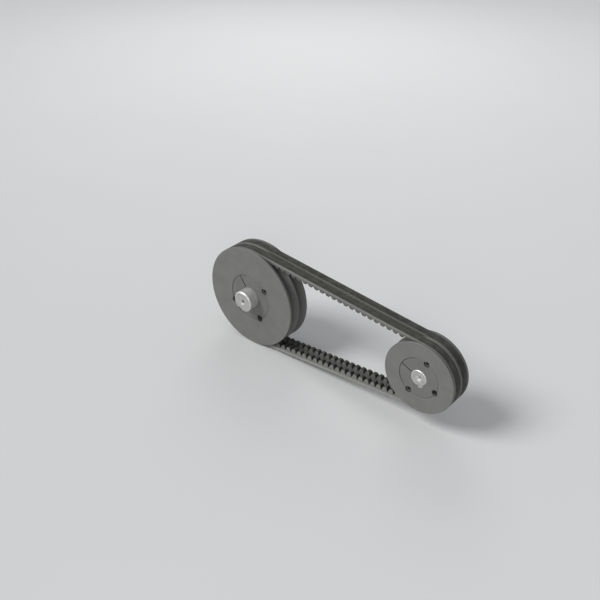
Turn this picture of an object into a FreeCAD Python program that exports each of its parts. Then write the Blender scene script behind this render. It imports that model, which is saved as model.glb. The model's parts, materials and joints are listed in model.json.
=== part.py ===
import FreeCAD, Part
import math
import os
import Sketcher

# A two-belt V-belt drive, in millimetres. Two cogged raw-edge belts run side by side over a
# large two-groove pulley (the driver, on a motor shaft) and a small one (the driven, on a
# machine shaft). Each pulley is clamped to its shaft by a split taper bush, two set screws
# and a key. The origin is on the driver shaft's axis, at the shoulder where its bearing seat
# starts. +Y runs back along both shafts, +X points from the driver to the driven shaft, and
# +Z is up.
DIMENSIONS = {
    # the drive
    "centre_distance": 350,
    "face_setback": 60,
    "fit_gap": 0.02,
    # the rims: two grooves for 16.3 mm wide belts
    "driver_datum_diameter": 180,
    "driven_datum_diameter": 118,
    "rim_width": 44,
    "rim_chamfer": 0.8,
    "crest_chamfer": 0.4,
    "groove_count": 2,
    "groove_spacing": 19,
    "groove_edge": 12.5,
    "groove_angle": 34,
    "datum_width": 14,
    "datum_depth": 3.5,
    "groove_depth": 17.5,
    "back_recess_depth": 12,
    "back_recess_draft": 1,
    "driver_recess_inner": 58,
    "driver_recess_outer": 68,
    "driven_recess_inner": 20,
    "driven_recess_outer": 39,
    # the taper bushes
    "driver_bush_diameter": 85.5,
    "driver_bush_length": 44.45,
    "driven_bush_diameter": 70,
    "driven_bush_length": 31.75,
    "bush_taper": 4,
    "bush_inset": 0.8,
    "bush_chamfer": 0.8,
    "bore_cut_start": 1,
    "slit_width": 2.4,
    "driver_slit_direction": 122,
    "driven_slit_direction": 156,
    # the set screws and the jacking hole, on one circle
    "screw_spread": 86,
    "screw_chamfer": 0.8,
    "screw_inset": 3,
    "socket_depth": 6,
    "driver_screw_circle": 82.5,
    "driver_screw_diameter": 12.7,
    "driver_screw_length": 38,
    "driver_socket_width": 6.35,
    "driven_screw_circle": 66.7,
    "driven_screw_diameter": 11.1,
    "driven_screw_length": 22.2,
    "driven_socket_width": 5.56,
    # the keys
    "driver_key_direction": 248,
    "driver_key_width": 10,
    "driver_key_height": 8,
    "driver_key_length": 44,
    "driver_key_start": 1,
    "driver_keyway_depth": 5,
    "driven_key_direction": 290,
    "driven_key_width": 8,
    "driven_key_height": 7,
    "driven_key_length": 40,
    "driven_key_start": 0,
    "driven_keyway_depth": 4,
    "bush_keyway_depth": 3.3,
    "keyway_margin": 6,
    # the shaft ends and their bearing seats
    "driver_shaft_chamfer": 2,
    "driven_shaft_chamfer": 1,
    "seat_chamfer": 0.5,
    "driver_shaft_diameter": 38,
    "driver_shaft_length": 80,
    "driver_seat_diameter": 40,
    "driver_seat_length": 23,
    "driven_shaft_diameter": 28,
    "driven_shaft_length": 60,
    "driven_seat_diameter": 30,
    "driven_seat_length": 19,
    "centre_hole_diameter": 11,
    "centre_hole_angle": 60,
    "centre_drill_diameter": 5,
    "centre_drill_depth": 13,
    "drill_point_angle": 118,
    # the belts
    "belt_height": 13,
    "belt_side_gap": 0.06,
    "fabric_thickness": 1,
    "worn_edge": 1.35,
    "cord_layer_bottom": 5,
    "cord_depth": 3.5,
    "cord_diameter": 1.3,
    "cord_sleeve_gap": 0.05,
    "cord_count": 8,
    "cord_spacing": 1.5,
    "cog_count": 97,
    "first_notch": 5.5,
    "notch_depth": 6,
    "notch_opening": 6.4,
    "notch_root_radius": 1.6,
}

FRONT = "(-dims.face_setback)"
HALF_GROOVE = "(dims.groove_angle / 2 * 1 deg)"
TAPER = "tan(dims.bush_taper * 1 deg)"

doc = FreeCAD.newDocument("v_belt_drive")
dims = doc.addObject("Spreadsheet::Sheet", "dims")


def fill_sheet():
    for row, (alias, number) in enumerate(DIMENSIONS.items(), start=1):
        dims.set(f"A{row}", alias)
        dims.set(f"B{row}", str(number))
        dims.setAlias(f"B{row}", alias)
    doc.recompute()


def size(expression):
    """The present value of an expression in the sheet's dimensions."""
    result = dims.evalExpression(expression)
    return float(getattr(result, "Value", result))


# ---- bodies, sketches and features ----------------------------------------------------


def new_body(label, side=None, direction=None):
    """An empty body on the driver's or the driven shaft's axis, turned about that axis."""
    body = doc.addObject("PartDesign::Body", label)
    body.Label = label
    if direction:
        turn = FreeCAD.Rotation(FreeCAD.Vector(0, -1, 0), size(direction))
        body.Placement = FreeCAD.Placement(FreeCAD.Vector(), turn)
        body.setExpression("Placement.Rotation.Angle", direction)
    if side == "driven":
        body.setExpression("Placement.Base.x", "dims.centre_distance")
    return body


def new_sketch(body, name, role, lift=None, turn=None):
    """A sketch on one of the body's own planes, lifted along the plane's normal."""
    sketch = body.newObject("Sketcher::SketchObject", name)
    planes = {feature.Role: feature for feature in body.Origin.OriginFeatures}
    sketch.AttachmentSupport = [(planes[role], "")]
    sketch.MapMode = "FlatFace"
    if turn:
        spin = FreeCAD.Rotation(FreeCAD.Vector(0, 0, 1), size(turn))
        sketch.AttachmentOffset = FreeCAD.Placement(FreeCAD.Vector(), spin)
        sketch.setExpression("AttachmentOffset.Rotation.Angle", turn)
    if lift:
        sketch.setExpression("AttachmentOffset.Base.z", lift)
    return sketch


def bind(sketch, name, expression, kind, *references):
    """Add a dimension to a sketch and drive it from the sheet."""
    index = sketch.addConstraint(Sketcher.Constraint(kind, *references, size(expression)))
    sketch.renameConstraint(index, name)
    sketch.setExpression(f"Constraints.{name}", expression)


def add_polygon(sketch, corners):
    """A closed outline through corners given as pairs of expressions."""
    first = sketch.GeometryCount
    points = [FreeCAD.Vector(size(across), size(along), 0) for across, along in corners]
    for start, end in zip(points, points[1:] + points[:1]):
        sketch.addGeometry(Part.LineSegment(start, end))
    for step, (across, along) in enumerate(corners):
        line = first + step
        following = first + (step + 1) % len(corners)
        sketch.addConstraint(Sketcher.Constraint("Coincident", line, 2, following, 1))
        bind(sketch, f"across_{line}", across, "DistanceX", -1, 1, line, 1)
        bind(sketch, f"along_{line}", along, "DistanceY", -1, 1, line, 1)


def add_circle(sketch, across, along, radius):
    number = sketch.GeometryCount
    centre = FreeCAD.Vector(size(across), size(along), 0)
    sketch.addGeometry(Part.Circle(centre, FreeCAD.Vector(0, 0, 1), size(radius)))
    bind(sketch, f"across_{number}", across, "DistanceX", -1, 1, number, 3)
    bind(sketch, f"along_{number}", along, "DistanceY", -1, 1, number, 3)
    bind(sketch, f"radius_{number}", radius, "Radius", number)


def turned(body, name, corners, kind="PartDesign::Revolution"):
    """Turn an outline about the shaft axis: a solid, or a cut where kind is a Groove."""
    sketch = new_sketch(body, f"{name}_outline", "XY_Plane")
    add_polygon(sketch, corners)
    feature = body.newObject(kind, name)
    feature.Profile = sketch
    feature.ReferenceAxis = (sketch, ["V_Axis"])
    feature.Angle = 360
    body.Tip = feature
    return feature


def extruded(body, name, sketch, length, kind="PartDesign::Pocket"):
    """Pad a sketch along its normal, or pocket it the other way."""
    feature = body.newObject(kind, name)
    feature.Profile = sketch
    feature.setExpression("Length", length)
    body.Tip = feature
    return feature


def checked_cut(body, cut):
    """Stop where a cut has taken nothing away from its body."""
    doc.recompute()
    removed = cut.BaseFeature.Shape.Volume - cut.Shape.Volume
    if removed < 1:
        raise RuntimeError(f"{cut.Label} in {body.Label} cuts nothing")


# ---- pulleys ----------------------------------------------------------------------------


def screw_spots(side):
    """The two set screws, either side of the slit at direction zero."""
    radius = f"dims.{side}_screw_circle / 2"
    across = f"{radius} * cos(dims.screw_spread * 1 deg)"
    along = f"{radius} * sin(dims.screw_spread * 1 deg)"
    return {"upper": (across, f"-{along}"), "lower": (across, along)}


def cut_screw_holes(body, side):
    """The half holes that pulley and bush share: two for screws, one for jacking."""
    sketch = new_sketch(body, "screw_hole_circles", "XZ_Plane", lift="dims.face_setback")
    radius = f"dims.{side}_screw_diameter / 2 + dims.fit_gap"
    for across, along in screw_spots(side).values():
        add_circle(sketch, across, along, radius)
    add_circle(sketch, f"-dims.{side}_screw_circle / 2", "0", radius)
    depth = f"dims.{side}_screw_length + dims.screw_inset + dims.fit_gap"
    checked_cut(body, extruded(body, "screw_holes", sketch, depth))


def bush_radius(side, depth):
    """The taper bush's outer radius at a depth behind the pulleys' front face."""
    return f"(dims.{side}_bush_diameter / 2 - ({depth} - dims.bush_inset) * {TAPER})"


def make_pulley(side):
    body = new_body(f"{side}_pulley", side, f"dims.{side}_slit_direction")
    outer = f"(dims.{side}_datum_diameter / 2 + dims.datum_depth)"
    back = f"({FRONT} + dims.rim_width)"
    bore_front = f"{bush_radius(side, '0')} + dims.fit_gap"
    bore_back = f"{bush_radius(side, 'dims.rim_width')} + dims.fit_gap"
    turned(body, "rim", [
        (f"{bore_front} + dims.bush_chamfer", FRONT),
        (f"{outer} - dims.rim_chamfer", FRONT),
        (outer, f"{FRONT} + dims.rim_chamfer"),
        (outer, f"{back} - dims.rim_chamfer"),
        (f"{outer} - dims.rim_chamfer", back),
        (bore_back, back),
        (f"{bush_radius(side, 'dims.bush_chamfer')} + dims.fit_gap",
         f"{FRONT} + dims.bush_chamfer"),
    ])

    middle = f"({FRONT} + dims.groove_edge)"
    slope = f"tan{HALF_GROOVE}"
    half_top = f"(dims.datum_width / 2 + dims.datum_depth * {slope})"
    half_crest = f"({half_top} - dims.crest_chamfer * {slope})"
    half_floor = f"({half_top} - dims.groove_depth * {slope})"
    half_mouth = f"({half_top} + 2 * dims.crest_chamfer)"
    floor = f"{outer} - dims.groove_depth"
    crest = f"{outer} - dims.crest_chamfer"
    mouth = f"{outer} + dims.crest_chamfer"
    groove = turned(body, "belt_groove", [
        (mouth, f"{middle} - {half_mouth}"),
        (crest, f"{middle} - {half_crest}"),
        (floor, f"{middle} - {half_floor}"),
        (floor, f"{middle} + {half_floor}"),
        (crest, f"{middle} + {half_crest}"),
        (mouth, f"{middle} + {half_mouth}"),
    ], "PartDesign::Groove")
    checked_cut(body, groove)
    axes = {feature.Role: feature for feature in body.Origin.OriginFeatures}
    rows = body.newObject("PartDesign::LinearPattern", "belt_grooves")
    rows.Originals = [groove]
    rows.Direction = (axes["Y_Axis"], [""])
    rows.setExpression("Occurrences", "dims.groove_count")
    rows.setExpression("Length", "dims.groove_spacing * (dims.groove_count - 1)")
    body.Tip = rows
    checked_cut(body, rows)

    recess = turned(body, "back_recess", [
        (f"dims.{side}_recess_inner + dims.back_recess_draft",
         f"{back} - dims.back_recess_depth"),
        (f"dims.{side}_recess_outer - dims.back_recess_draft",
         f"{back} - dims.back_recess_depth"),
        (f"dims.{side}_recess_outer + dims.back_recess_draft / 2",
         f"{back} + dims.back_recess_draft"),
        (f"dims.{side}_recess_inner - dims.back_recess_draft / 2",
         f"{back} + dims.back_recess_draft"),
    ], "PartDesign::Groove")
    checked_cut(body, recess)
    cut_screw_holes(body, side)
    return body


# ---- taper bushes and their screws --------------------------------------------------------


def make_bush(side):
    body = new_body(f"{side}_taper_bush", side, f"dims.{side}_slit_direction")
    front = f"({FRONT} + dims.bush_inset)"
    back = f"({front} + dims.{side}_bush_length)"
    bore = f"(dims.{side}_shaft_diameter / 2 + dims.fit_gap)"
    chamfer_end = bush_radius(side, "(dims.bush_inset + dims.bush_chamfer)")
    back_radius = bush_radius(side, f"(dims.bush_inset + dims.{side}_bush_length)")
    turned(body, "cone", [
        (f"{bore} + dims.bush_chamfer", front),
        (f"dims.{side}_bush_diameter / 2 - dims.bush_chamfer", front),
        (chamfer_end, f"{front} + dims.bush_chamfer"),
        (back_radius, back),
        (bore, back),
        (bore, f"{front} + dims.bush_chamfer"),
    ])

    slit = new_sketch(body, "slit_outline", "XZ_Plane", lift="dims.face_setback")
    half_slit = "dims.slit_width / 2"
    reach = f"dims.{side}_bush_diameter"
    add_polygon(slit, [
        ("dims.bore_cut_start", f"-{half_slit}"),
        (reach, f"-{half_slit}"),
        (reach, half_slit),
        ("dims.bore_cut_start", half_slit),
    ])
    checked_cut(body, extruded(body, "slit", slit, "2 * dims.rim_width"))

    turn = f"dims.{side}_key_direction - dims.{side}_slit_direction"
    slot = new_sketch(body, "keyway_outline", "XZ_Plane", "dims.face_setback", turn)
    half_key = f"dims.{side}_key_width / 2"
    top = f"dims.{side}_shaft_diameter / 2 + dims.bush_keyway_depth"
    add_polygon(slot, [
        ("dims.bore_cut_start", f"-{half_key}"),
        (top, f"-{half_key}"),
        (top, half_key),
        ("dims.bore_cut_start", half_key),
    ])
    checked_cut(body, extruded(body, "keyway", slot, "2 * dims.rim_width"))
    cut_screw_holes(body, side)
    return body


def make_screw(side, place):
    """A set screw with a hexagon socket, in its half holes beside the slit."""
    label = f"{side}_bush_screw_{place}"
    body = new_body(label, side, f"dims.{side}_slit_direction")
    across, along = screw_spots(side)[place]
    radius = f"dims.{side}_screw_diameter / 2"
    front = "dims.face_setback - dims.screw_inset"
    back = f"{front} - dims.{side}_screw_length"
    shank = new_sketch(body, "shank_circle", "XZ_Plane", lift=back)
    add_circle(shank, across, along, radius)
    pad = extruded(body, "shank", shank, f"dims.{side}_screw_length", "PartDesign::Pad")
    doc.recompute()

    ends = [
        f"Edge{number}"
        for number, edge in enumerate(pad.Shape.Edges, start=1)
        if isinstance(edge.Curve, Part.Circle)
    ]
    bevel = body.newObject("PartDesign::Chamfer", "end_chamfers")
    bevel.Base = (pad, ends)
    bevel.setExpression("Size", "dims.screw_chamfer")
    body.Tip = bevel

    socket = new_sketch(body, "socket_outline", "XZ_Plane", lift=front)
    corner_radius = f"dims.{side}_socket_width / sqrt(3)"
    add_polygon(socket, [
        (f"{across} + {corner_radius} * cos({corner * 60} deg)",
         f"{along} + {corner_radius} * sin({corner * 60} deg)")
        for corner in range(6)
    ])
    checked_cut(body, extruded(body, "socket", socket, "dims.socket_depth"))
    return body


# ---- shaft ends and keys --------------------------------------------------------------------


def key_plan(sketch, start, end, half_width):
    """A key's or keyway's plan: a rectangle up to the centre of its round rear end."""
    add_polygon(sketch, [
        (start, f"-{half_width}"),
        (end, f"-{half_width}"),
        (end, half_width),
        (start, half_width),
    ])


def make_shaft_end(side):
    body = new_body(f"{side}_shaft_end", side, f"dims.{side}_key_direction")
    tip = f"(-dims.{side}_shaft_length)"
    radius = f"(dims.{side}_shaft_diameter / 2)"
    seat = f"(dims.{side}_seat_diameter / 2)"
    seat_end = f"dims.{side}_seat_length"
    drill = "(dims.centre_drill_diameter / 2)"
    mouth = "(dims.centre_hole_diameter / 2)"
    cone_depth = f"(({mouth} - {drill}) / tan(dims.centre_hole_angle / 2 * 1 deg))"
    point_depth = f"({drill} / tan(dims.drill_point_angle / 2 * 1 deg))"
    turned(body, "journals", [
        ("0", f"{tip} + dims.centre_drill_depth"),
        (drill, f"{tip} + dims.centre_drill_depth - {point_depth}"),
        (drill, f"{tip} + {cone_depth}"),
        (mouth, tip),
        (f"{radius} - dims.{side}_shaft_chamfer", tip),
        (radius, f"{tip} + dims.{side}_shaft_chamfer"),
        (radius, "0"),
        (seat, "0"),
        (seat, f"{seat_end} - dims.seat_chamfer"),
        (f"{seat} - dims.seat_chamfer", seat_end),
        ("0", seat_end),
    ])

    half_width = f"(dims.{side}_key_width / 2)"
    end = f"({FRONT} + dims.{side}_key_start + dims.{side}_key_length)"
    top = f"{radius} + dims.keyway_margin"
    depth = f"dims.{side}_keyway_depth + dims.keyway_margin"
    plan = new_sketch(body, "keyway_plan", "YZ_Plane", lift=top)
    key_plan(plan, f"{tip} - dims.keyway_margin", f"{end} - {half_width}", half_width)
    checked_cut(body, extruded(body, "keyway", plan, depth))
    round_end = new_sketch(body, "keyway_round_end", "YZ_Plane", lift=top)
    add_circle(round_end, f"{end} - {half_width}", "0", half_width)
    checked_cut(body, extruded(body, "keyway_end", round_end, depth))
    return body


def make_key(side):
    body = new_body(f"{side}_key", side, f"dims.{side}_key_direction")
    half_width = f"(dims.{side}_key_width / 2 - dims.fit_gap)"
    start = f"{FRONT} + dims.{side}_key_start"
    end = f"({start} + dims.{side}_key_length - dims.{side}_key_width / 2)"
    floor = (f"dims.{side}_shaft_diameter / 2 - dims.{side}_keyway_depth"
             " + dims.fit_gap")
    height = f"dims.{side}_key_height"
    plan = new_sketch(body, "plan", "YZ_Plane", lift=floor)
    key_plan(plan, start, end, half_width)
    extruded(body, "bar", plan, height, "PartDesign::Pad")
    round_end = new_sketch(body, "round_end", "YZ_Plane", lift=floor)
    add_circle(round_end, end, "0", half_width)
    extruded(body, "bar_end", round_end, height, "PartDesign::Pad")
    return body


# ---- belts --------------------------------------------------------------------------------

DRIVER_DATUM = "dims.driver_datum_diameter / 2"
DRIVEN_DATUM = "dims.driven_datum_diameter / 2"
BELT_MIDDLE = "dims.groove_edge - dims.face_setback"
BELTS = {"front": BELT_MIDDLE, "rear": f"{BELT_MIDDLE} + dims.groove_spacing"}


def span_lean():
    """The angle by which the two straight spans lean towards each other."""
    return math.asin(size(f"({DRIVER_DATUM} - {DRIVEN_DATUM}) / dims.centre_distance"))


def new_belt_body(label, middle):
    body = new_body(label)
    body.setExpression("Placement.Base.y", middle)
    return body


def add_datum_loop(body):
    """The belt's datum line: round both pulleys, with two straight spans between."""
    sketch = new_sketch(body, "datum_loop", "XZ_Plane")
    upright = FreeCAD.Vector(0, 0, 1)
    large = size(DRIVER_DATUM)
    small = size(DRIVEN_DATUM)
    centre = FreeCAD.Vector(size("dims.centre_distance"), 0, 0)
    touch = math.pi / 2 - span_lean()
    driver_circle = Part.Circle(FreeCAD.Vector(), upright, large)
    driven_circle = Part.Circle(centre, upright, small)
    towards_top = FreeCAD.Vector(math.cos(touch), math.sin(touch), 0)
    towards_bottom = FreeCAD.Vector(math.cos(touch), -math.sin(touch), 0)
    top_span = (towards_top * large, centre + towards_top * small)
    bottom_span = (centre + towards_bottom * small, towards_bottom * large)
    sketch.addGeometry(Part.ArcOfCircle(driver_circle, touch, math.pi))
    sketch.addGeometry(Part.ArcOfCircle(driver_circle, math.pi, 2 * math.pi - touch))
    sketch.addGeometry(Part.LineSegment(*bottom_span))
    sketch.addGeometry(Part.ArcOfCircle(driven_circle, -touch, touch))
    sketch.addGeometry(Part.LineSegment(*top_span))
    joins = [("Coincident", 0, 2, 1, 1), ("Coincident", 0, 3, -1, 1), ("Coincident", 1, 3, -1, 1),
             ("PointOnObject", 0, 2, -1), ("PointOnObject", 3, 3, -1),
             ("Tangent", 1, 2, 2, 2), ("Tangent", 2, 1, 3, 1),
             ("Tangent", 3, 2, 4, 2), ("Tangent", 4, 1, 0, 1)]
    for join in joins:
        sketch.addConstraint(Sketcher.Constraint(*join))
    bind(sketch, "driver_radius", DRIVER_DATUM, "Radius", 0)
    bind(sketch, "driven_radius", DRIVEN_DATUM, "Radius", 3)
    bind(sketch, "centre_distance", "dims.centre_distance", "DistanceX", -1, 1, 3, 3)
    return sketch


def belt_half_width(depth):
    """Half a belt's width at a depth below its back, a running gap inside the groove."""
    slope = f"tan{HALF_GROOVE}"
    half_top = f"dims.datum_width / 2 + dims.datum_depth * {slope}"
    return f"({half_top} - dims.belt_side_gap / cos{HALF_GROOVE} - ({depth}) * {slope})"


def belt_back(depth):
    """Where the driver's leftmost belt section lies, at a depth below the belt's back."""
    return f"(({depth}) - dims.datum_depth - {DRIVER_DATUM})"


def section(top, bottom):
    return [
        (belt_back(top), f"-{belt_half_width(top)}"),
        (belt_back(bottom), f"-{belt_half_width(bottom)}"),
        (belt_back(bottom), belt_half_width(bottom)),
        (belt_back(top), belt_half_width(top)),
    ]


def sweep_round_loop(body, name, profile, kind="PartDesign::AdditivePipe"):
    loop = add_datum_loop(body)
    pipe = body.newObject(kind, name)
    pipe.Profile = profile
    pipe.Spine = (loop, [])
    pipe.Mode = "Standard"
    body.Tip = pipe
    return pipe


def cord_spots():
    """The tensile cords' centres across the belt."""
    count = int(size("dims.cord_count"))
    for number in range(count):
        yield f"(({number} - {(count - 1) / 2}) * dims.cord_spacing)"


def make_fabric(name, middle):
    """The woven cover on the belt's back, its two edges worn to a bevel."""
    body = new_belt_body(f"{name}_belt_back_fabric", middle)
    profile = new_sketch(body, "section", "XY_Plane")
    foot = belt_half_width("dims.fabric_thickness")
    flat = f"({foot} - dims.worn_edge)"
    add_polygon(profile, [
        (belt_back("0"), f"-{flat}"),
        (belt_back("dims.fabric_thickness"), f"-{foot}"),
        (belt_back("dims.fabric_thickness"), foot),
        (belt_back("0"), flat),
    ])
    sweep_round_loop(body, "back_fabric", profile)
    return body


def make_cord_layer(name, middle):
    """The rubber that holds the cords, with a sleeve round each cord."""
    body = new_belt_body(f"{name}_belt_cord_layer", middle)
    profile = new_sketch(body, "section", "XY_Plane")
    top = "dims.fabric_thickness + dims.fit_gap"
    add_polygon(profile, section(top, "dims.cord_layer_bottom"))
    sweep_round_loop(body, "cord_rubber", profile)
    sleeves = new_sketch(body, "sleeve_circles", "XY_Plane")
    for spot in cord_spots():
        radius = "dims.cord_diameter / 2 + dims.cord_sleeve_gap"
        add_circle(sleeves, belt_back("dims.cord_depth"), spot, radius)
    cut = sweep_round_loop(body, "sleeves", sleeves, "PartDesign::SubtractivePipe")
    checked_cut(body, cut)
    return body


def make_cords(name, middle):
    body = new_belt_body(f"{name}_belt_tensile_cords", middle)
    body.AllowCompound = True
    profile = new_sketch(body, "section", "XY_Plane")
    for spot in cord_spots():
        add_circle(profile, belt_back("dims.cord_depth"), spot, "dims.cord_diameter / 2")
    sweep_round_loop(body, "cords", profile)
    return body


def belt_station(distance):
    """The datum line's point, outward direction and bend radius at a distance round it."""
    large = size(DRIVER_DATUM)
    small = size(DRIVEN_DATUM)
    lean = span_lean()
    centre = FreeCAD.Vector(size("dims.centre_distance"), 0, 0)
    span = centre.x * math.cos(lean)
    driver_wrap = large * (math.pi + 2 * lean)
    driven_wrap = small * (math.pi - 2 * lean)
    up = math.pi / 2 - lean
    if distance < driver_wrap:
        angle = up + distance / large
        outward = FreeCAD.Vector(math.cos(angle), math.sin(angle), 0)
        return outward * large, outward, large
    distance -= driver_wrap
    if distance < span:
        outward = FreeCAD.Vector(math.cos(up), -math.sin(up), 0)
        along = FreeCAD.Vector(math.sin(up), math.cos(up), 0)
        return outward * large + along * distance, outward, math.inf
    distance -= span
    if distance < driven_wrap:
        angle = distance / small - up
        outward = FreeCAD.Vector(math.cos(angle), math.sin(angle), 0)
        return centre + outward * small, outward, small
    distance -= driven_wrap
    outward = FreeCAD.Vector(math.cos(up), math.sin(up), 0)
    along = FreeCAD.Vector(-math.sin(up), math.cos(up), 0)
    return centre + outward * small + along * distance, outward, math.inf


def belt_length():
    large = size(DRIVER_DATUM)
    small = size(DRIVEN_DATUM)
    lean = span_lean()
    spans = 2 * size("dims.centre_distance") * math.cos(lean)
    return spans + large * (math.pi + 2 * lean) + small * (math.pi - 2 * lean)


def add_notch(sketch, spot, outward, bend_radius):
    """One notch: two flanks that close in to a round root. A bent belt pinches it."""
    root = size("dims.notch_root_radius")
    below_datum = size("dims.belt_height - dims.datum_depth")
    pinch = 1 - below_datum / bend_radius
    mouth_half = size("dims.notch_opening / 2") * pinch
    mouth_depth = below_datum + root / 4
    root_depth = below_datum - size("dims.notch_depth") + root
    along = FreeCAD.Vector(-outward.y, outward.x, 0)

    def point(across, depth):
        return spot + along * across - outward * depth

    corners = [point(-mouth_half, mouth_depth), point(-root, root_depth),
               point(root, root_depth), point(mouth_half, mouth_depth)]
    crown = point(0, root_depth - root)
    sketch.addGeometry(Part.LineSegment(corners[0], corners[1]))
    sketch.addGeometry(Part.Arc(corners[1], crown, corners[2]))
    sketch.addGeometry(Part.LineSegment(corners[2], corners[3]))
    sketch.addGeometry(Part.LineSegment(corners[3], corners[0]))


def make_cogged_base(name, middle):
    body = new_belt_body(f"{name}_belt_cogged_base", middle)
    profile = new_sketch(body, "section", "XY_Plane")
    top = "dims.cord_layer_bottom + dims.fit_gap"
    add_polygon(profile, section(top, "dims.belt_height"))
    sweep_round_loop(body, "base_rubber", profile)
    doc.recompute()

    notches = new_sketch(body, "notch_outlines", "XZ_Plane")
    count = int(size("dims.cog_count"))
    for number in range(count):
        distance = size("dims.first_notch") + number * belt_length() / count
        add_notch(notches, *belt_station(distance))
    cut = extruded(body, "notches", notches, "2 * dims.datum_width")
    cut.SideType = "Symmetric"
    checked_cut(body, cut)
    return body


# ---- the drive ----------------------------------------------------------------------------


def make_hub_set(side):
    yield make_pulley(side)
    yield make_bush(side)
    for place in screw_spots(side):
        yield make_screw(side, place)
    yield make_key(side)
    yield make_shaft_end(side)


def make_belt(name, middle):
    yield make_fabric(name, middle)
    yield make_cord_layer(name, middle)
    yield make_cords(name, middle)
    yield make_cogged_base(name, middle)


def check_and_export(bodies):
    doc.recompute()
    for item in doc.Objects:
        if "Invalid" in item.State or "Error" in item.State:
            raise RuntimeError(f"{item.Label} failed: {item.State}")
    for body in bodies:
        if body.Shape.isNull() or not body.Shape.isValid() or not body.Shape.Solids:
            raise RuntimeError(f"{body.Label} has no valid solid")
    os.makedirs("parts", exist_ok=True)
    for body in bodies:
        body.Shape.exportStep(f"parts/{body.Label}.step")
        solids = len(body.Shape.Solids)
        print(f"{body.Label}: {solids} solid(s), {body.Shape.Volume / 1000:.2f} cm3")


fill_sheet()
bodies = []
for side in ("driver", "driven"):
    bodies.extend(make_hub_set(side))
for name, middle in BELTS.items():
    bodies.extend(make_belt(name, middle))
check_and_export(bodies)
print(f"belt datum length {belt_length():.1f} mm")
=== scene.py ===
import json
import math

import bpy
from mathutils import Matrix, Vector


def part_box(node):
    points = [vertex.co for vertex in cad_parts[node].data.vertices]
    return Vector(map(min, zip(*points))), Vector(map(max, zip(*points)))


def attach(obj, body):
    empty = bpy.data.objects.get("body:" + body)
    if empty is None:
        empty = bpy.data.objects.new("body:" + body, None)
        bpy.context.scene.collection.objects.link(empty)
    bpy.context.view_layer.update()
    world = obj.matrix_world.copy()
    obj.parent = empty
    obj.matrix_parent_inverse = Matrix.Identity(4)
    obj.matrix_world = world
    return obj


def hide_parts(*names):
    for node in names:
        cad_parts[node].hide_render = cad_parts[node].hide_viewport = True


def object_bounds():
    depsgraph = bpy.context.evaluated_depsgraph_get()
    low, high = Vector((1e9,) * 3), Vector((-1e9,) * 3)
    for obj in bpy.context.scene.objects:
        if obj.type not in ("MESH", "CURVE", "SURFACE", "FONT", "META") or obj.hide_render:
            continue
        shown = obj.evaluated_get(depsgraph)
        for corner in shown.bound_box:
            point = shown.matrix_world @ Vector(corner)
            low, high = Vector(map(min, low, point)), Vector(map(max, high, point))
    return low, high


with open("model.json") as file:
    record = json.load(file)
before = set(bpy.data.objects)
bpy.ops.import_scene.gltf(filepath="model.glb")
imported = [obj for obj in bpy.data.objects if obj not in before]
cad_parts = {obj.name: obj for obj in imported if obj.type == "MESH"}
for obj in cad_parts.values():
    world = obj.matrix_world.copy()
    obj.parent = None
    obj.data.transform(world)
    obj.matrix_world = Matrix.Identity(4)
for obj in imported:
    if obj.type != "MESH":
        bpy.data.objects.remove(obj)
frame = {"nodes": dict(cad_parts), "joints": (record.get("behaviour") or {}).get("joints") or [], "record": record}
cad_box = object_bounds()
MM = 0.001
SHAFT_AXIS = 1

# ---- the drive's own measures, read from the frame -----------------------------------------

joints = {joint["name"]: joint for joint in frame["joints"]}
DRIVER_AXIS = Vector(joints["driver_spin"]["pos_m"])
DRIVEN_AXIS = Vector(joints["driven_spin"]["pos_m"])
CENTRE_DISTANCE = (DRIVEN_AXIS - DRIVER_AXIS).length
BELT_NAMES = ("front", "rear")


def span_of(node, axis):
    """A node's lowest and highest place along one axis."""
    low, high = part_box(node)
    return low[axis], high[axis]


def middle_of(node, axis):
    return sum(span_of(node, axis)) / 2


LARGE_RIM = span_of("driver_pulley", 2)[1]
SMALL_RIM = span_of("driven_pulley", 2)[1]
BELT_MIDDLES = {name: middle_of(f"{name}_belt_cord_layer", SHAFT_AXIS) for name in BELT_NAMES}
BELTS_CENTRE = sum(BELT_MIDDLES.values()) / 2
HALF_SPACING = abs(BELT_MIDDLES["rear"] - BELT_MIDDLES["front"]) / 2

# ---- belt section and cogs ------------------------------------------------------------------

BELT_HEIGHT = 13 * MM
DATUM_DEPTH = 3.5 * MM
DATUM_HALF_WIDTH = 7 * MM - 0.063 * MM
FLANK_SLOPE = math.tan(math.radians(17))
FABRIC_THICKNESS = 1 * MM
WORN_EDGE = 1.35 * MM
BASE_TOP = 5.02 * MM
COG_COUNT = 97
FIRST_NOTCH = 5.5 * MM
NOTCH_DEPTH = 6 * MM
NOTCH_MOUTH = 6.4 * MM
NOTCH_ROOT = 1.6 * MM
COG_TIP_ROUND = 1.7 * MM
CUT_EDGE = 0.22 * MM
CORDS_ABOVE = 4.4 * MM
CORDS_BELOW = 5.4 * MM
THREAD_PITCH = 0.9 * MM
RUBBED_FROM = 6.7 * MM
RUBBED_FULLY = 7.35 * MM
INNER_EDGES = 7 * MM


def half_width(depth):
    """Half the belt's width at a depth below its back."""
    return DATUM_HALF_WIDTH + (DATUM_DEPTH - depth) * FLANK_SLOPE


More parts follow.
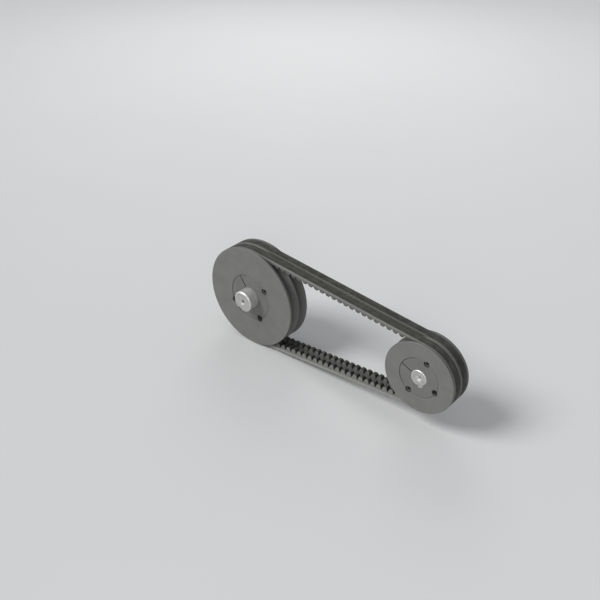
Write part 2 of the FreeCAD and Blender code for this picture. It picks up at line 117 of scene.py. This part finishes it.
class Loop:
    """The belt's datum line: up over the large pulley, along the lower span, round the small
    pulley and back along the upper span, as distances from the upper span's end."""

    def __init__(self):
        self.large = LARGE_RIM - DATUM_DEPTH
        self.small = SMALL_RIM - DATUM_DEPTH
        self.lean = math.asin((self.large - self.small) / CENTRE_DISTANCE)
        self.span = CENTRE_DISTANCE * math.cos(self.lean)
        self.large_wrap = self.large * (math.pi + 2 * self.lean)
        self.small_wrap = self.small * (math.pi - 2 * self.lean)
        self.length = self.large_wrap + self.small_wrap + 2 * self.span

    def at(self, distance, depth):
        """The point at a distance round the loop and a depth below the belt's back: (x, z)."""
        distance %= self.length
        lift = DATUM_DEPTH - depth
        up = math.pi / 2 - self.lean
        if distance < self.large_wrap:
            angle = up + distance / self.large
            reach = self.large + lift
            return Vector((math.cos(angle), math.sin(angle))) * reach
        distance -= self.large_wrap
        outward = Vector((math.cos(up), -math.sin(up)))
        if distance < self.span:
            along = Vector((math.sin(up), math.cos(up)))
            return outward * (self.large + lift) + along * distance
        distance -= self.span
        centre = Vector((CENTRE_DISTANCE, 0))
        if distance < self.small_wrap:
            angle = distance / self.small - up
            return centre + Vector((math.cos(angle), math.sin(angle))) * (self.small + lift)
        distance -= self.small_wrap
        outward = Vector((math.cos(up), math.sin(up)))
        along = Vector((-math.sin(up), math.cos(up)))
        return centre + outward * (self.small + lift) + along * distance


LOOP = Loop()


def ring_mesh(name, rings, distances, sharp_angle):
    """A closed tube through equal rings of points, with belt distance and width as its UV."""
    count = len(rings)
    size = len(rings[0])
    faces = []
    for ring in range(count):
        here = ring * size
        there = (ring + 1) % count * size
        for point in range(size):
            beside = (point + 1) % size
            faces.append((here + point, here + beside, there + beside, there + point))
    mesh = bpy.data.meshes.new(name)
    mesh.from_pydata([point for ring in rings for point in ring], [], faces)
    uv = mesh.uv_layers.new(name="belt")
    for polygon in mesh.polygons:
        wraps = polygon.index >= (count - 1) * size
        for loop_index in polygon.loop_indices:
            vertex = mesh.loops[loop_index].vertex_index
            distance = distances[vertex // size]
            if wraps and vertex < size:
                distance += LOOP.length
            uv.data[loop_index].uv = (distance, mesh.vertices[vertex].co.y)
    piece = bpy.data.objects.new(name, mesh)
    bpy.context.scene.collection.objects.link(piece)
    mesh.shade_smooth()
    mesh.set_sharp_from_angle(angle=math.radians(sharp_angle))
    return piece


def arc_points(centre, radius, start, end, steps):
    """Points along an arc in the plane, its angles in degrees."""
    for step in range(steps + 1):
        angle = math.radians(start + (end - start) * step / steps)
        yield (centre[0] + radius * math.cos(angle), centre[1] + radius * math.sin(angle))


STATIONS_PER_COG = 8
FLAT_STEPS = 8
EDGE_STEPS = 7
ROUND_STEPS = 6


def fabric_section():
    """The woven cover's outline as (across, depth), with its two outer edges worn round."""
    flat = half_width(FABRIC_THICKNESS) - WORN_EDGE
    left = [(WORN_EDGE * across - flat, FABRIC_THICKNESS * (1 - lift))
            for across, lift in arc_points((0, 0), 1, 180, 90, EDGE_STEPS)]
    middle = [(-flat + 2 * flat * step / FLAT_STEPS, 0) for step in range(1, FLAT_STEPS)]
    right = [(-across, depth) for across, depth in reversed(left)]
    return left + middle + right


def fabric_piece(name):
    stations = COG_COUNT * STATIONS_PER_COG
    distances = [LOOP.length * step / stations for step in range(stations)]
    rings = []
    for distance in distances:
        ring = []
        for across, depth in fabric_section():
            x, z = LOOP.at(distance, depth)
            ring.append((x, BELT_MIDDLES[name] + across, z))
        rings.append(ring)
    return ring_mesh(f"{name}_belt_woven_back", rings, distances, 50)


def cog_outline():
    """One pitch of the cogged underside as (along, depth), from a notch's middle to the next:
    a round root, straight flanks and rounded cog tips."""
    pitch = LOOP.length / COG_COUNT
    floor = BELT_HEIGHT - NOTCH_DEPTH
    root_centre = floor + NOTCH_ROOT
    lean = math.atan2(NOTCH_MOUTH / 2 - NOTCH_ROOT, BELT_HEIGHT - root_centre)
    lean_degrees = math.degrees(lean)
    half = list(arc_points((0, root_centre), NOTCH_ROOT, -90, lean_degrees, ROUND_STEPS))
    flank_run = NOTCH_MOUTH / 2 + COG_TIP_ROUND * math.tan((math.pi / 2 - lean) / 2)
    tip_centre = (flank_run, BELT_HEIGHT - COG_TIP_ROUND)
    half += arc_points(tip_centre, COG_TIP_ROUND, 180 - lean_degrees, 90, ROUND_STEPS)
    half.append((pitch / 2, BELT_HEIGHT))
    mirrored = [(pitch - along, depth) for along, depth in reversed(half[1:-1])]
    return half + mirrored


def cog_section(depth):
    """The cogged base's outline where it is this deep, as (across, depth), with its two cut
    edges broken."""
    above_edge = depth - CUT_EDGE
    trim = half_width(depth)
    right = [(half_width(BASE_TOP), BASE_TOP), (half_width(above_edge), above_edge),
             (trim - CUT_EDGE, depth), (trim / 3, depth)]
    return right + [(-across, deep) for across, deep in reversed(right)]


def cogs_piece(name):
    pitch = LOOP.length / COG_COUNT
    outline = cog_outline()
    rings = []
    distances = []
    for number in range(COG_COUNT):
        for along, depth in outline:
            distance = FIRST_NOTCH + number * pitch + along
            distances.append(distance)
            ring = []
            for across, deep in cog_section(depth):
                x, z = LOOP.at(distance, deep)
                ring.append((x, BELT_MIDDLES[name] + across, z))
            rings.append(ring)
    return ring_mesh(f"{name}_belt_cogs", rings, distances, 40)


# ---- materials ------------------------------------------------------------------------------


class Shader:
    """A node material, put together by short calls that return sockets."""

    def __init__(self, name):
        self.material = bpy.data.materials.new(name)
        self.material.use_nodes = True
        self.tree = self.material.node_tree
        self.tree.nodes.clear()
        self.coordinates = self.add("ShaderNodeTexCoord")
        self.geometry = self.add("ShaderNodeNewGeometry")

    def add(self, kind, **settings):
        node = self.tree.nodes.new(kind)
        for key, value in settings.items():
            setattr(node, key, value)
        return node

    def feed(self, socket, value):
        if isinstance(value, bpy.types.NodeSocket):
            self.tree.links.new(value, socket)
        elif value is not None:
            socket.default_value = value

    def math(self, operation, first, second=None, third=None):
        node = self.add("ShaderNodeMath", operation=operation)
        for socket, value in zip(node.inputs, (first, second, third)):
            self.feed(socket, value)
        return node.outputs[0]

    def blend(self, first, share, second):
        """One number's share and the rest of another."""
        return self.math("ADD", self.math("MULTIPLY", first, share),
                         self.math("MULTIPLY", second, 1.0 - share))

    def step(self, value, low, high, to_low=0.0, to_high=1.0):
        """Smooth step of a value from low to high."""
        node = self.add("ShaderNodeMapRange", interpolation_type="SMOOTHSTEP")
        for socket, given in zip(node.inputs, (value, low, high, to_low, to_high)):
            self.feed(socket, given)
        return node.outputs[0]

    def mix(self, factor, first, second):
        """A colour between two colours."""
        node = self.add("ShaderNodeMix", data_type="RGBA")
        self.feed(node.inputs["Factor"], factor)
        for socket, value in zip(node.inputs[6:8], (first, second)):
            self.feed(socket, (*value, 1.0) if isinstance(value, tuple) else value)
        return node.outputs[2]

    def noise(self, vector, scale, detail=3.0, roughness=0.5):
        node = self.add("ShaderNodeTexNoise")
        self.feed(node.inputs["Vector"], vector)
        node.inputs["Scale"].default_value = scale
        node.inputs["Detail"].default_value = detail
        node.inputs["Roughness"].default_value = roughness
        return node.outputs["Fac"]

    def lines(self, value, scale, detail=2.0):
        """Noise along one number only, such as marks round an axis."""
        node = self.add("ShaderNodeTexNoise", noise_dimensions="1D")
        self.feed(node.inputs["W"], value)
        node.inputs["Scale"].default_value = scale
        node.inputs["Detail"].default_value = detail
        return node.outputs["Fac"]

    def split(self, vector):
        node = self.add("ShaderNodeSeparateXYZ")
        self.feed(node.inputs[0], vector)
        return node.outputs

    def place(self):
        """Where the point is on its own piece, in metres."""
        return self.coordinates.outputs["Object"]

    def facing(self, axis):
        """How far the surface faces along one axis, either way, 0 to 1."""
        return self.math("ABSOLUTE", self.split(self.geometry.outputs["True Normal"])[axis])

    def radius(self):
        """Distance from the nearer of the two shafts' axes."""
        x, _, z = self.split(self.place())
        near = []
        for centre in (DRIVER_AXIS.x, DRIVEN_AXIS.x):
            across = self.math("SUBTRACT", x, centre)
            squares = self.math("ADD", self.math("POWER", across, 2.0),
                                self.math("POWER", z, 2.0))
            near.append(self.math("SQRT", squares))
        return self.math("MINIMUM", *near)

    def turned_marks(self, fine, coarse):
        """Lathe marks: rings on flat faces, bands along the axis on round ones."""
        on_face = self.step(self.facing(SHAFT_AXIS), 0.6, 0.8)
        along = self.split(self.place())[SHAFT_AXIS]
        track = self.math("ADD", self.math("MULTIPLY", self.radius(), on_face),
                          self.math("MULTIPLY", along, self.math("SUBTRACT", 1.0, on_face)))
        return self.blend(self.lines(track, fine), 0.7, self.lines(track, coarse))

    def worn_edge(self, radius):
        """1 on an outside edge, fading over the given distance."""
        rounded = self.add("ShaderNodeBevel", samples=6)
        rounded.inputs["Radius"].default_value = radius
        dot = self.add("ShaderNodeVectorMath", operation="DOT_PRODUCT")
        self.feed(dot.inputs[0], rounded.outputs[0])
        self.feed(dot.inputs[1], self.geometry.outputs["Normal"])
        return self.step(dot.outputs["Value"], 0.995, 0.9)

    def bump(self, height, distance, strength=1.0, under=None):
        node = self.add("ShaderNodeBump")
        self.feed(node.inputs["Height"], height)
        node.inputs["Distance"].default_value = distance
        node.inputs["Strength"].default_value = strength
        self.feed(node.inputs["Normal"], under)
        return node.outputs[0]

    def finish(self, colour, roughness, normal=None, metallic=0.0, specular=0.5, **more):
        surface = self.add("ShaderNodeBsdfPrincipled")
        self.feed(surface.inputs["Base Color"], colour)
        self.feed(surface.inputs["Roughness"], roughness)
        self.feed(surface.inputs["Metallic"], metallic)
        self.feed(surface.inputs["Specular IOR Level"], specular)
        self.feed(surface.inputs["Normal"], normal)
        for name, value in more.items():
            self.feed(surface.inputs[name.replace("_", " ").title()], value)
        output = self.add("ShaderNodeOutputMaterial")
        self.feed(output.inputs["Surface"], surface.outputs[0])
        return self.material


def darker(colour, share):
    return tuple(share * channel for channel in colour)


IRON = (0.19, 0.19, 0.182)
BUSH_IRON = (0.178, 0.178, 0.17)
RUBBED_IRON = (0.4, 0.4, 0.39)
STEEL = (0.78, 0.773, 0.755)
KEY_STEEL = (0.7, 0.693, 0.67)
DULL_FILM = (0.1, 0.1, 0.097)
HOLE_SHADE = (0.05, 0.05, 0.047)
BLACK_OXIDE = (0.07, 0.07, 0.07)
RUBBED_OXIDE = (0.13, 0.13, 0.127)
OXIDE_EDGE = (0.3, 0.3, 0.29)
CUT_RUBBER = (0.135, 0.135, 0.126)
CUT_RUBBER_LIGHT = (0.2, 0.2, 0.187)
CUT_CORDS = (0.21, 0.21, 0.196)
CUT_CORDS_LIGHT = (0.3, 0.3, 0.28)
LOOSE_FIBRE = (0.4, 0.39, 0.36)
GAP_SHADE = (0.05, 0.05, 0.045)
MOULDED_RUBBER = (0.038, 0.038, 0.034)
MOULDED_RUBBER_LIGHT = (0.075, 0.073, 0.064)
COVER = (0.028, 0.028, 0.025)
COVER_STREAK = (0.095, 0.093, 0.083)
COVER_THREAD = (0.075, 0.073, 0.062)
COVER_EDGE = (0.28, 0.28, 0.256)
CORD = (0.5, 0.47, 0.4)
CORD_LIGHT = (0.68, 0.65, 0.58)


def iron_material(name, base, light):
    """Phosphated cast iron: turned faces, cast mottling, belt dust and painted shade darkening the lands and
    grooves, and edges rubbed lighter."""
    shader = Shader(name)
    marks = shader.turned_marks(2600, 420)
    mottle = shader.noise(shader.place(), 55, 4)
    grain = shader.noise(shader.place(), 1400, 2)
    tone = shader.blend(mottle, 0.55, marks)
    colour = shader.mix(shader.step(tone, 0.3, 0.7), darker(base, 0.86), base)
    # belt dust and painted shade: the lands and grooves, which don't face along the shafts, are made darker
    dust_and_shade = shader.step(shader.facing(SHAFT_AXIS), 0.9, 0.6)
    colour = shader.mix(dust_and_shade, colour, darker(base, 0.66))
    edge = shader.worn_edge(0.5 * MM)
    edge = shader.math("MULTIPLY", edge, shader.step(grain, 0.25, 0.6))
    colour = shader.mix(edge, colour, light)
    roughness = shader.step(tone, 0.2, 0.8, 0.62, 0.5)
    cast = shader.bump(grain, 0.05 * MM, 0.5)
    normal = shader.bump(marks, 0.02 * MM, 0.5, cast)
    metallic = shader.math("MULTIPLY", edge, 0.3)
    return shader.finish(colour, roughness, normal, metallic, 0.4)


def in_large_centre_hole(shader):
    """1 deep in the centre hole of the large pulley's shaft, 0 elsewhere."""
    near_axis = shader.step(shader.radius(), 4 * MM, 3.2 * MM)
    on_driver = shader.step(shader.split(shader.place())[0], 30 * MM, 20 * MM)
    return shader.math("MULTIPLY", near_axis, on_driver)


def steel_material(name, base, low, high, marks_depth, metallic):
    """Turned or drawn steel with lathe marks, a dull film on its end faces and painted shade deep in
    the large shaft's centre hole."""
    shader = Shader(name)
    marks = shader.turned_marks(3800, 700)
    haze = shader.noise(shader.place(), 120, 3)
    colour = shader.mix(shader.step(haze, 0.3, 0.75), base, darker(base, 0.8))
    end_face = shader.facing(SHAFT_AXIS)
    film = shader.step(end_face, 0.85, 0.95, 0, 0.36)
    colour = shader.mix(film, colour, DULL_FILM)
    # painted shade on the walls deep in the large shaft's centre hole
    hole_shade = shader.math("MULTIPLY", in_large_centre_hole(shader),
                         shader.step(end_face, 0.85, 0.75, 0, 0.75))
    colour = shader.mix(hole_shade, colour, HOLE_SHADE)
    tone = shader.blend(marks, 0.6, haze)
    roughness = shader.step(tone, 0.25, 0.75, low, high)
    normal = shader.bump(marks, marks_depth, 0.6)
    tangent = shader.add("ShaderNodeTangent", direction_type="RADIAL", axis="Y")
    return shader.finish(colour, roughness, normal, metallic, 0.5, anisotropic=0.4,
                         tangent=tangent.outputs[0])


def black_steel_material(name):
    """Black-oxide screws rubbed grey by the hexagon key, with bright edges."""
    shader = Shader(name)
    haze = shader.noise(shader.place(), 900, 3)
    edge = shader.worn_edge(0.35 * MM)
    colour = shader.mix(shader.step(haze, 0.3, 0.7), BLACK_OXIDE, RUBBED_OXIDE)
    colour = shader.mix(edge, colour, OXIDE_EDGE)
    roughness = shader.step(haze, 0.3, 0.7, 0.42, 0.55)
    metallic = shader.math("MULTIPLY", edge, 0.8)
    return shader.finish(colour, roughness, shader.bump(haze, 0.02 * MM, 0.5), metallic)


def across_belts(shader):
    """Distance from the middle plane between the two belts."""
    along_shafts = shader.split(shader.place())[SHAFT_AXIS]
    return shader.math("ABSOLUTE", shader.math("SUBTRACT", along_shafts, BELTS_CENTRE))


def across_belt(shader):
    """Distance from the middle plane of whichever belt the point is on."""
    return shader.math("ABSOLUTE", shader.math("SUBTRACT", across_belts(shader), HALF_SPACING))


def shade_between_belts(shader):
    """1 on the edges that face the other belt, where painted shade goes, 0 elsewhere."""
    return shader.step(across_belts(shader), INNER_EDGES, INNER_EDGES - 1 * MM)


def rubber_material(name):
    """The belt's rubber: flanks cut and ground, grey with fibres and lighter where the cords'
    edge is cut, the rest moulded black."""
    shader = Shader(name)
    cut = shader.step(shader.facing(SHAFT_AXIS), 0.75, 0.9)
    across = across_belt(shader)
    ground = shader.lines(across, 5200, 3)
    dust = shader.noise(shader.place(), 260, 5, 0.6)
    fibres = shader.noise(shader.place(), 2600, 2)
    tone = shader.step(shader.blend(ground, 0.35, dust), 0.3, 0.7)
    flank = shader.mix(tone, CUT_RUBBER, CUT_RUBBER_LIGHT)
    cord_edge = shader.mix(tone, CUT_CORDS, CUT_CORDS_LIGHT)
    at_cords = shader.step(across, half_width(CORDS_BELOW), half_width(CORDS_ABOVE))
    flank = shader.mix(at_cords, flank, cord_edge)
    flank = shader.mix(shader.step(fibres, 0.62, 0.72, 0, 0.5), flank, LOOSE_FIBRE)
    # painted shade on the flanks that face the other belt, in the gap between the belts
    flank = shader.mix(shader.math("MULTIPLY", shade_between_belts(shader), 0.4), flank, GAP_SHADE)
    moulded = shader.mix(shader.step(dust, 0.35, 0.7), MOULDED_RUBBER, MOULDED_RUBBER_LIGHT)
    colour = shader.mix(cut, moulded, flank)
    roughness = shader.step(cut, 0, 1, 0.62, 0.88)
    rough = shader.bump(fibres, 0.05 * MM, 0.5)
    normal = shader.bump(ground, 0.03 * MM, 0.5, rough)
    return shader.finish(colour, roughness, normal, 0.0, 0.3)


def fabric_material(name):
    """The woven cover: bias-cut threads pressed into rubber, streaked along the belt and
    rubbed lighter at the edges."""
    shader = Shader(name)
    uv = shader.add("ShaderNodeUVMap", uv_map="belt")
    along, across, _ = shader.split(uv.outputs[0])
    threads = 2 * math.pi * round(LOOP.length / THREAD_PITCH) / LOOP.length
    weave = []
    for turn in (1, -1):
        track = shader.math("MULTIPLY_ADD", across, turn * 0.8 * threads,
                            shader.math("MULTIPLY", along, threads))
        weave.append(shader.math("SINE", track))
    threads_up = shader.math("MAXIMUM", *weave)
    rubbed = shader.step(across_belt(shader), RUBBED_FROM, RUBBED_FULLY)
    streaks = shader.blend(shader.lines(across, 2200, 3), 0.4, shader.lines(across, 520, 1))
    dust = shader.noise(shader.place(), 90, 4, 0.6)
    tone = shader.blend(streaks, 0.65, dust)
    colour = shader.mix(shader.step(tone, 0.42, 0.6), COVER, COVER_STREAK)
    raised = shader.step(threads_up, 0.2, 1.0, 0, 0.35)
    colour = shader.mix(raised, colour, COVER_THREAD)
    fray = shader.noise(shader.place(), 1500, 3)
    worn = shader.math("MULTIPLY", rubbed, shader.step(fray, 0.3, 0.6))
    # painted shade in the gap: the worn fabric edges that face the other belt stay darker
    gap_shade_keep = shader.math("SUBTRACT", 1.0, shader.math("MULTIPLY", shade_between_belts(shader), 0.3))
    worn = shader.math("MULTIPLY", worn, gap_shade_keep)
    colour = shader.mix(worn, colour, COVER_EDGE)
    cloth = shader.bump(threads_up, 0.06 * MM, 0.6)
    normal = shader.bump(dust, 0.1 * MM, 0.3, cloth)
    return shader.finish(colour, 0.8, normal, 0.0, 0.25)


def cord_material(name):
    """Twisted polyester cord."""
    shader = Shader(name)
    twist = shader.noise(shader.place(), 1800, 2)
    colour = shader.mix(twist, CORD, CORD_LIGHT)
    return shader.finish(colour, 0.7, shader.bump(twist, 0.1 * MM, 0.6))


MATERIALS = {
    "pulley_iron": iron_material("pulley_iron", IRON, RUBBED_IRON),
    "bush_iron": iron_material("bush_iron", BUSH_IRON, RUBBED_IRON),
    "shaft_steel": steel_material("shaft_steel", STEEL, 0.36, 0.5, 0.012 * MM, 0.55),
    "key_steel": steel_material("key_steel", KEY_STEEL, 0.4, 0.52, 0.008 * MM, 0.55),
    "screw_steel": black_steel_material("screw_steel"),
    "belt_fabric": fabric_material("belt_fabric"),
    "belt_rubber": rubber_material("belt_rubber"),
    "belt_cord": cord_material("belt_cord"),
}

# ---- the CAD parts that stay, and the belts' own pieces ----------------------------------------

slots = {part["node"]: part["material_slot"] for part in frame["record"]["subparts"]}
for node, part in frame["nodes"].items():
    part.data.materials.clear()
    part.data.materials.append(MATERIALS[slots[node]])

for belt in BELT_NAMES:
    made = {
        "back_fabric": (fabric_piece(belt), "belt_fabric"),
        "cogged_base": (cogs_piece(belt), "belt_rubber"),
    }
    for part, (piece, slot) in made.items():
        piece.data.materials.append(MATERIALS[slot])
        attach(piece, "belts")
        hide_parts(f"{belt}_belt_{part}")

# ---- floor, light and camera --------------------------------------------------------------------

FLOOR_RADIUS = 14
FLOOR_TONE = (0.74, 0.74, 0.735)
FLOOR_GAP = 0.2 * MM


def make_floor():
    bpy.ops.mesh.primitive_circle_add(vertices=96, radius=FLOOR_RADIUS, fill_type="NGON",
                                      location=(0, 0, cad_box[0].z - FLOOR_GAP))
    floor = bpy.context.object
    floor.name = "floor"
    shader = Shader("floor_paper")
    speck = shader.noise(shader.place(), 3, 2)
    colour = shader.mix(speck, FLOOR_TONE, darker(FLOOR_TONE, 0.97))
    floor.data.materials.append(shader.finish(colour, 0.9, specular=0.2))


KEY_DIRECTION = (-0.45, -0.55, 0.7)
KEY_ENERGY = 1.9
KEY_ANGLE = 26
WINDOW_DIRECTION = (-0.55, 0.65, 0.55)
FRONT_DIRECTION = (0.55, -0.74, 0.38)
SKY = (0.93, 0.95, 1.0, 1.0)
SKY_STRENGTH = 0.32


def turned_light(data, direction):
    """A light object that shines from a direction towards the drive."""
    light = bpy.data.objects.new(data.name, data)
    bpy.context.scene.collection.objects.link(light)
    light.rotation_mode = "QUATERNION"
    light.rotation_quaternion = Vector(direction).to_track_quat("Z", "Y")
    return light


def area_light(name, direction, distance, size, power):
    """A square soft light that stands off in a direction and faces the drive's middle."""
    data = bpy.data.lights.new(name, "AREA")
    data.size = size
    data.energy = power
    light = turned_light(data, direction)
    light.location = (cad_box[0] + cad_box[1]) / 2 + Vector(direction).normalized() * distance


def make_light():
    key = bpy.data.lights.new("key", "SUN")
    key.energy = KEY_ENERGY
    key.angle = math.radians(KEY_ANGLE)
    turned_light(key, KEY_DIRECTION)
    area_light("window", WINDOW_DIRECTION, distance=2.6, size=1.4, power=12)
    area_light("front", FRONT_DIRECTION, distance=2.5, size=0.9, power=8)
    world = bpy.data.worlds.new("studio")
    world.use_nodes = True
    background = world.node_tree.nodes["Background"]
    background.inputs["Color"].default_value = SKY
    background.inputs["Strength"].default_value = SKY_STRENGTH
    bpy.context.scene.world = world
    bpy.context.scene.view_settings.view_transform = "Standard"


CAMERA_AZIMUTH = 39.58
CAMERA_ELEVATION = 32.72
CAMERA_ROLL = 0.78
CAMERA_DISTANCE = 1.389
CAMERA_AIM = Vector((113.6 * MM, -60 * MM, 42.5 * MM))
LENS = 50.5
SENSOR = 36
CLIP_START = 0.05
CLIP_END = 60


def make_camera():
    azimuth = math.radians(CAMERA_AZIMUTH)
    elevation = math.radians(CAMERA_ELEVATION)
    back = Vector((math.sin(azimuth) * math.cos(elevation),
                   -math.cos(azimuth) * math.cos(elevation), math.sin(elevation)))
    data = bpy.data.cameras.new("camera")
    data.lens = LENS
    data.sensor_width = SENSOR
    data.clip_start = CLIP_START
    data.clip_end = CLIP_END
    camera = bpy.data.objects.new("camera", data)
    bpy.context.scene.collection.objects.link(camera)
    turn = back.to_track_quat("Z", "Y").to_matrix().to_4x4()
    roll = Matrix.Rotation(math.radians(CAMERA_ROLL), 4, "Z")
    camera.matrix_world = Matrix.Translation(CAMERA_AIM + back * CAMERA_DISTANCE) @ turn @ roll
    bpy.context.scene.camera = camera


make_floor()
make_light()
make_camera()
